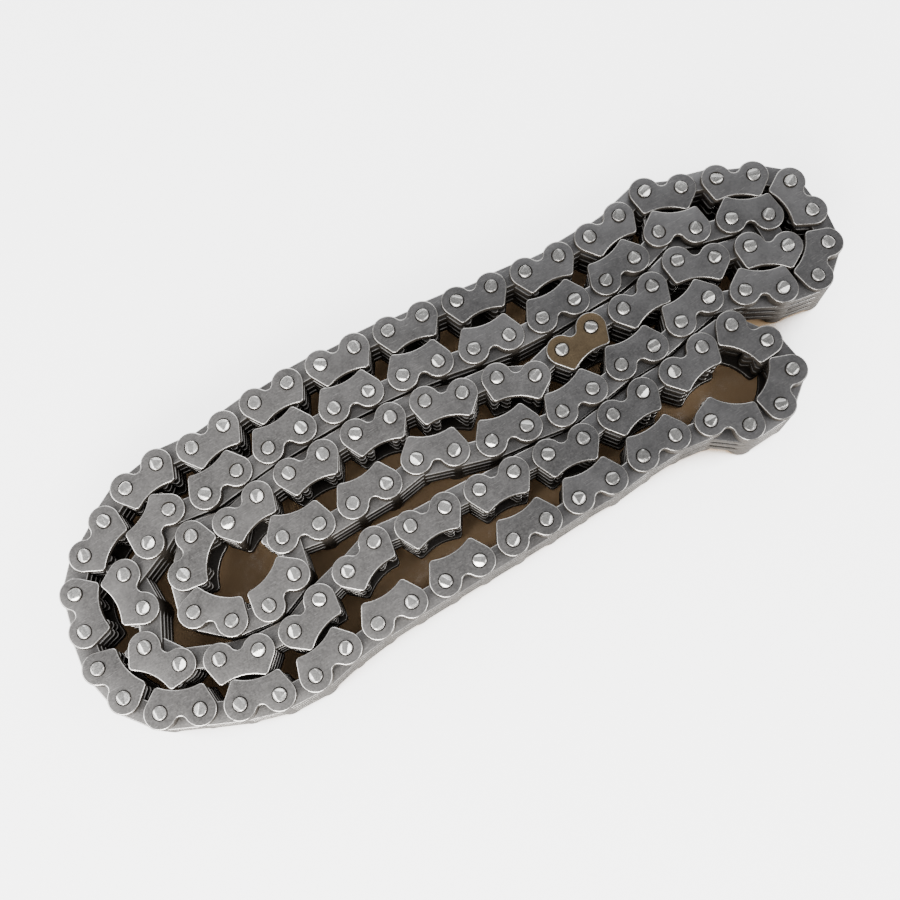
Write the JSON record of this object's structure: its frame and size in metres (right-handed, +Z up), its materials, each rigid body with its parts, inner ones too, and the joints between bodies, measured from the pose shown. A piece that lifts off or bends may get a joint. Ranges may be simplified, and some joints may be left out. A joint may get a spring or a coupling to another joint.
{
  "type": "silent chain",
  "caption": "Endless inverted-tooth drive chain with side guide plates, lying folded on its side; its outer run peels away link by link on upright pins.",
  "frame": {"origin": "on the surface under the pin ends, at the middle of the folded chain's box", "axes": "+X along the folded runs, +Y across the runs, +Z up along the pins"},
  "size_m": [0.2186, 0.076, 0.0164],
  "materials": {
    "plate_steel": "tumbled hardened steel, satin, burnished at the edges",
    "pin_steel": "bright ground steel, staked ends",
    "tinted_steel": "steel tinted brown by heat"
  },
  "bodies": {
    "root": {"coil_lower_guide_plates": "plate_steel", "coil_upper_guide_plates": "plate_steel", "marker_guide_plate": "tinted_steel", "coil_guide_row_plates": "plate_steel", "coil_tooth_link_plates": "plate_steel", "coil_pins": "pin_steel"},
    "tooth_link_013": {"tooth_link_013_plates": "plate_steel"},
    "guide_link_012": {"guide_link_012_plates": "plate_steel", "guide_link_012_pins": "pin_steel"},
    "tooth_link_011": {"tooth_link_011_plates": "plate_steel"},
    "guide_link_010": {"guide_link_010_plates": "plate_steel", "guide_link_010_pins": "pin_steel"},
    "tooth_link_009": {"tooth_link_009_plates": "plate_steel"},
    "guide_link_008": {"guide_link_008_plates": "plate_steel", "guide_link_008_pins": "pin_steel"},
    "tooth_link_007": {"tooth_link_007_plates": "plate_steel"},
    "guide_link_006": {"guide_link_006_plates": "plate_steel", "guide_link_006_pins": "pin_steel"},
    "tooth_link_005": {"tooth_link_005_plates": "plate_steel"},
    "guide_link_004": {"guide_link_004_plates": "plate_steel", "guide_link_004_pins": "pin_steel"},
    "tooth_link_003": {"tooth_link_003_plates": "plate_steel"},
    "guide_link_002": {"guide_link_002_plates": "plate_steel", "guide_link_002_pins": "pin_steel"},
    "tooth_link_001": {"tooth_link_001_plates": "plate_steel"},
    "guide_link_000": {"guide_link_000_plates": "plate_steel", "guide_link_000_pins": "pin_steel"},
    "tooth_link_131": {"tooth_link_131_plates": "plate_steel"},
    "guide_link_130": {"guide_link_130_plates": "plate_steel", "guide_link_130_pins": "pin_steel"},
    "tooth_link_129": {"tooth_link_129_plates": "plate_steel"},
    "guide_link_128": {"guide_link_128_plates": "plate_steel", "guide_link_128_pins": "pin_steel"},
    "tooth_link_111": {"tooth_link_111_plates": "plate_steel"},
    "guide_link_112": {"guide_link_112_plates": "plate_steel", "guide_link_112_pins": "pin_steel"},
    "tooth_link_113": {"tooth_link_113_plates": "plate_steel"},
    "guide_link_114": {"guide_link_114_plates": "plate_steel", "guide_link_114_pins": "pin_steel"},
    "tooth_link_115": {"tooth_link_115_plates": "plate_steel"},
    "guide_link_116": {"guide_link_116_plates": "plate_steel", "guide_link_116_pins": "pin_steel"},
    "tooth_link_117": {"tooth_link_117_plates": "plate_steel"},
    "guide_link_118": {"guide_link_118_plates": "plate_steel", "guide_link_118_pins": "pin_steel"},
    "tooth_link_119": {"tooth_link_119_plates": "plate_steel"},
    "guide_link_120": {"guide_link_120_plates": "plate_steel", "guide_link_120_pins": "pin_steel"},
    "tooth_link_121": {"tooth_link_121_plates": "plate_steel"},
    "guide_link_122": {"guide_link_122_plates": "plate_steel", "guide_link_122_pins": "pin_steel"},
    "tooth_link_123": {"tooth_link_123_plates": "plate_steel"},
    "guide_link_124": {"guide_link_124_plates": "plate_steel", "guide_link_124_pins": "pin_steel"},
    "tooth_link_125": {"tooth_link_125_plates": "plate_steel"},
    "guide_link_126": {"guide_link_126_plates": "plate_steel", "guide_link_126_pins": "pin_steel"},
    "tooth_link_127": {"tooth_link_127_plates": "plate_steel"}
  },
  "joints": [
    {"name": "pin_014_hinge", "type": "hinge", "parent": "root", "child": "tooth_link_013", "pos_m": [0.05217, 0.03011, 0], "axis": [0, 0, -1], "range_deg": [0, 15]},
    {"name": "pin_013_hinge", "type": "hinge", "parent": "tooth_link_013", "child": "guide_link_012", "pos_m": [0.04266, 0.0296, 0], "axis": [0, 0, -1], "range_deg": [0, 15]},
    {"name": "pin_012_hinge", "type": "hinge", "parent": "guide_link_012", "child": "tooth_link_011", "pos_m": [0.03315, 0.03004, 0], "axis": [0, 0, -1], "range_deg": [0, 15]},
    {"name": "pin_011_hinge", "type": "hinge", "parent": "tooth_link_011", "child": "guide_link_010", "pos_m": [0.02366, 0.03086, 0], "axis": [0, 0, -1], "range_deg": [0, 15]},
    {"name": "pin_010_hinge", "type": "hinge", "parent": "guide_link_010", "child": "tooth_link_009", "pos_m": [0.01418, 0.03177, 0], "axis": [0, 0, -1], "range_deg": [0, 15]},
    {"name": "pin_009_hinge", "type": "hinge", "parent": "tooth_link_009", "child": "guide_link_008", "pos_m": [0.00469, 0.03267, 0], "axis": [0, 0, -1], "range_deg": [0, 15]},
    {"name": "pin_008_hinge", "type": "hinge", "parent": "guide_link_008", "child": "tooth_link_007", "pos_m": [-0.0048, 0.03337, 0], "axis": [0, 0, -1], "range_deg": [0, 15]},
    {"name": "pin_007_hinge", "type": "hinge", "parent": "tooth_link_007", "child": "guide_link_006", "pos_m": [-0.01432, 0.03373, 0], "axis": [0, 0, -1], "range_deg": [0, 9]},
    {"name": "pin_006_hinge", "type": "hinge", "parent": "guide_link_006", "child": "tooth_link_005", "pos_m": [-0.02385, 0.03395, 0], "axis": [0, 0, -1], "range_deg": [0, 15]},
    {"name": "pin_005_hinge", "type": "hinge", "parent": "tooth_link_005", "child": "guide_link_004", "pos_m": [-0.03337, 0.03377, 0], "axis": [0, 0, -1], "range_deg": [0, 15]},
    {"name": "pin_004_hinge", "type": "hinge", "parent": "guide_link_004", "child": "tooth_link_003", "pos_m": [-0.04287, 0.03316, 0], "axis": [0, 0, -1], "range_deg": [0, 15]},
    {"name": "pin_003_hinge", "type": "hinge", "parent": "tooth_link_003", "child": "guide_link_002", "pos_m": [-0.0523, 0.03181, 0], "axis": [0, 0, -1], "range_deg": [0, 15]},
    {"name": "pin_002_hinge", "type": "hinge", "parent": "guide_link_002", "child": "tooth_link_001", "pos_m": [-0.06174, 0.03053, 0], "axis": [0, 0, -1], "range_deg": [0, 15]},
    {"name": "pin_001_hinge", "type": "hinge", "parent": "tooth_link_001", "child": "guide_link_000", "pos_m": [-0.07124, 0.03124, 0], "axis": [0, 0, -1], "range_deg": [0, 15]},
    {"name": "pin_000_hinge", "type": "hinge", "parent": "guide_link_000", "child": "tooth_link_131", "pos_m": [-0.08058, 0.02936, 0], "axis": [0, 0, -1], "range_deg": [0, 15]},
    {"name": "pin_131_hinge", "type": "hinge", "parent": "tooth_link_131", "child": "guide_link_130", "pos_m": [-0.08878, 0.02452, 0], "axis": [0, 0, -1], "range_deg": [0, 15]},
    {"name": "pin_130_hinge", "type": "hinge", "parent": "guide_link_130", "child": "tooth_link_129", "pos_m": [-0.09662, 0.01911, 0], "axis": [0, 0, -1], "range_deg": [0, 15]},
    {"name": "pin_129_hinge", "type": "hinge", "parent": "tooth_link_129", "child": "guide_link_128", "pos_m": [-0.10254, 0.01164, 0], "axis": [0, 0, -1], "range_deg": [0, 15]},
    {"name": "pin_111_hinge", "type": "hinge", "parent": "root", "child": "tooth_link_111", "pos_m": [0.03423, -0.0261, 0], "axis": [0, 0, 1], "range_deg": [0, 15]},
    {"name": "pin_112_hinge", "type": "hinge", "parent": "tooth_link_111", "child": "guide_link_112", "pos_m": [0.02478, -0.02724, 0], "axis": [0, 0, 1], "range_deg": [0, 15]},
    {"name": "pin_113_hinge", "type": "hinge", "parent": "guide_link_112", "child": "tooth_link_113", "pos_m": [0.01525, -0.02744, 0], "axis": [0, 0, 1], "range_deg": [0, 15]},
    {"name": "pin_114_hinge", "type": "hinge", "parent": "tooth_link_113", "child": "guide_link_114", "pos_m": [0.00575, -0.0281, 0], "axis": [0, 0, 1], "range_deg": [0, 15]},
    {"name": "pin_115_hinge", "type": "hinge", "parent": "guide_link_114", "child": "tooth_link_115", "pos_m": [-0.00376, -0.02857, 0], "axis": [0, 0, 1], "range_deg": [0, 15]},
    {"name": "pin_116_hinge", "type": "hinge", "parent": "tooth_link_115", "child": "guide_link_116", "pos_m": [-0.01328, -0.02895, 0], "axis": [0, 0, 1], "range_deg": [0, 15]},
    {"name": "pin_117_hinge", "type": "hinge", "parent": "guide_link_116", "child": "tooth_link_117", "pos_m": [-0.0228, -0.02931, 0], "axis": [0, 0, 1], "range_deg": [0, 15]},
    {"name": "pin_118_hinge", "type": "hinge", "parent": "tooth_link_117", "child": "guide_link_118", "pos_m": [-0.03231, -0.02972, 0], "axis": [0, 0, 1], "range_deg": [0, 15]},
    {"name": "pin_119_hinge", "type": "hinge", "parent": "guide_link_118", "child": "tooth_link_119", "pos_m": [-0.04182, -0.03032, 0], "axis": [0, 0, 1], "range_deg": [0, 15]},
    {"name": "pin_120_hinge", "type": "hinge", "parent": "tooth_link_119", "child": "guide_link_120", "pos_m": [-0.05124, -0.03171, 0], "axis": [0, 0, 1], "range_deg": [0, 15]},
    {"name": "pin_121_hinge", "type": "hinge", "parent": "guide_link_120", "child": "tooth_link_121", "pos_m": [-0.0605, -0.03395, 0], "axis": [0, 0, 1], "range_deg": [0, 15]},
    {"name": "pin_122_hinge", "type": "hinge", "parent": "tooth_link_121", "child": "guide_link_122", "pos_m": [-0.07002, -0.03371, 0], "axis": [0, 0, 1], "range_deg": [0, 11]},
    {"name": "pin_123_hinge", "type": "hinge", "parent": "guide_link_122", "child": "tooth_link_123", "pos_m": [-0.0792, -0.03118, 0], "axis": [0, 0, 1], "range_deg": [0, 15]},
    {"name": "pin_124_hinge", "type": "hinge", "parent": "tooth_link_123", "child": "guide_link_124", "pos_m": [-0.088, -0.02753, 0], "axis": [0, 0, 1], "range_deg": [0, 15]},
    {"name": "pin_125_hinge", "type": "hinge", "parent": "guide_link_124", "child": "tooth_link_125", "pos_m": [-0.09675, -0.02377, 0], "axis": [0, 0, 1], "range_deg": [0, 15]},
    {"name": "pin_126_hinge", "type": "hinge", "parent": "tooth_link_125", "child": "guide_link_126", "pos_m": [-0.10278, -0.01639, 0], "axis": [0, 0, 1], "range_deg": [0, 15]},
    {"name": "pin_127_hinge", "type": "hinge", "parent": "guide_link_126", "child": "tooth_link_127", "pos_m": [-0.10524, -0.00719, 0], "axis": [0, 0, 1], "range_deg": [0, 15]}
  ]
}
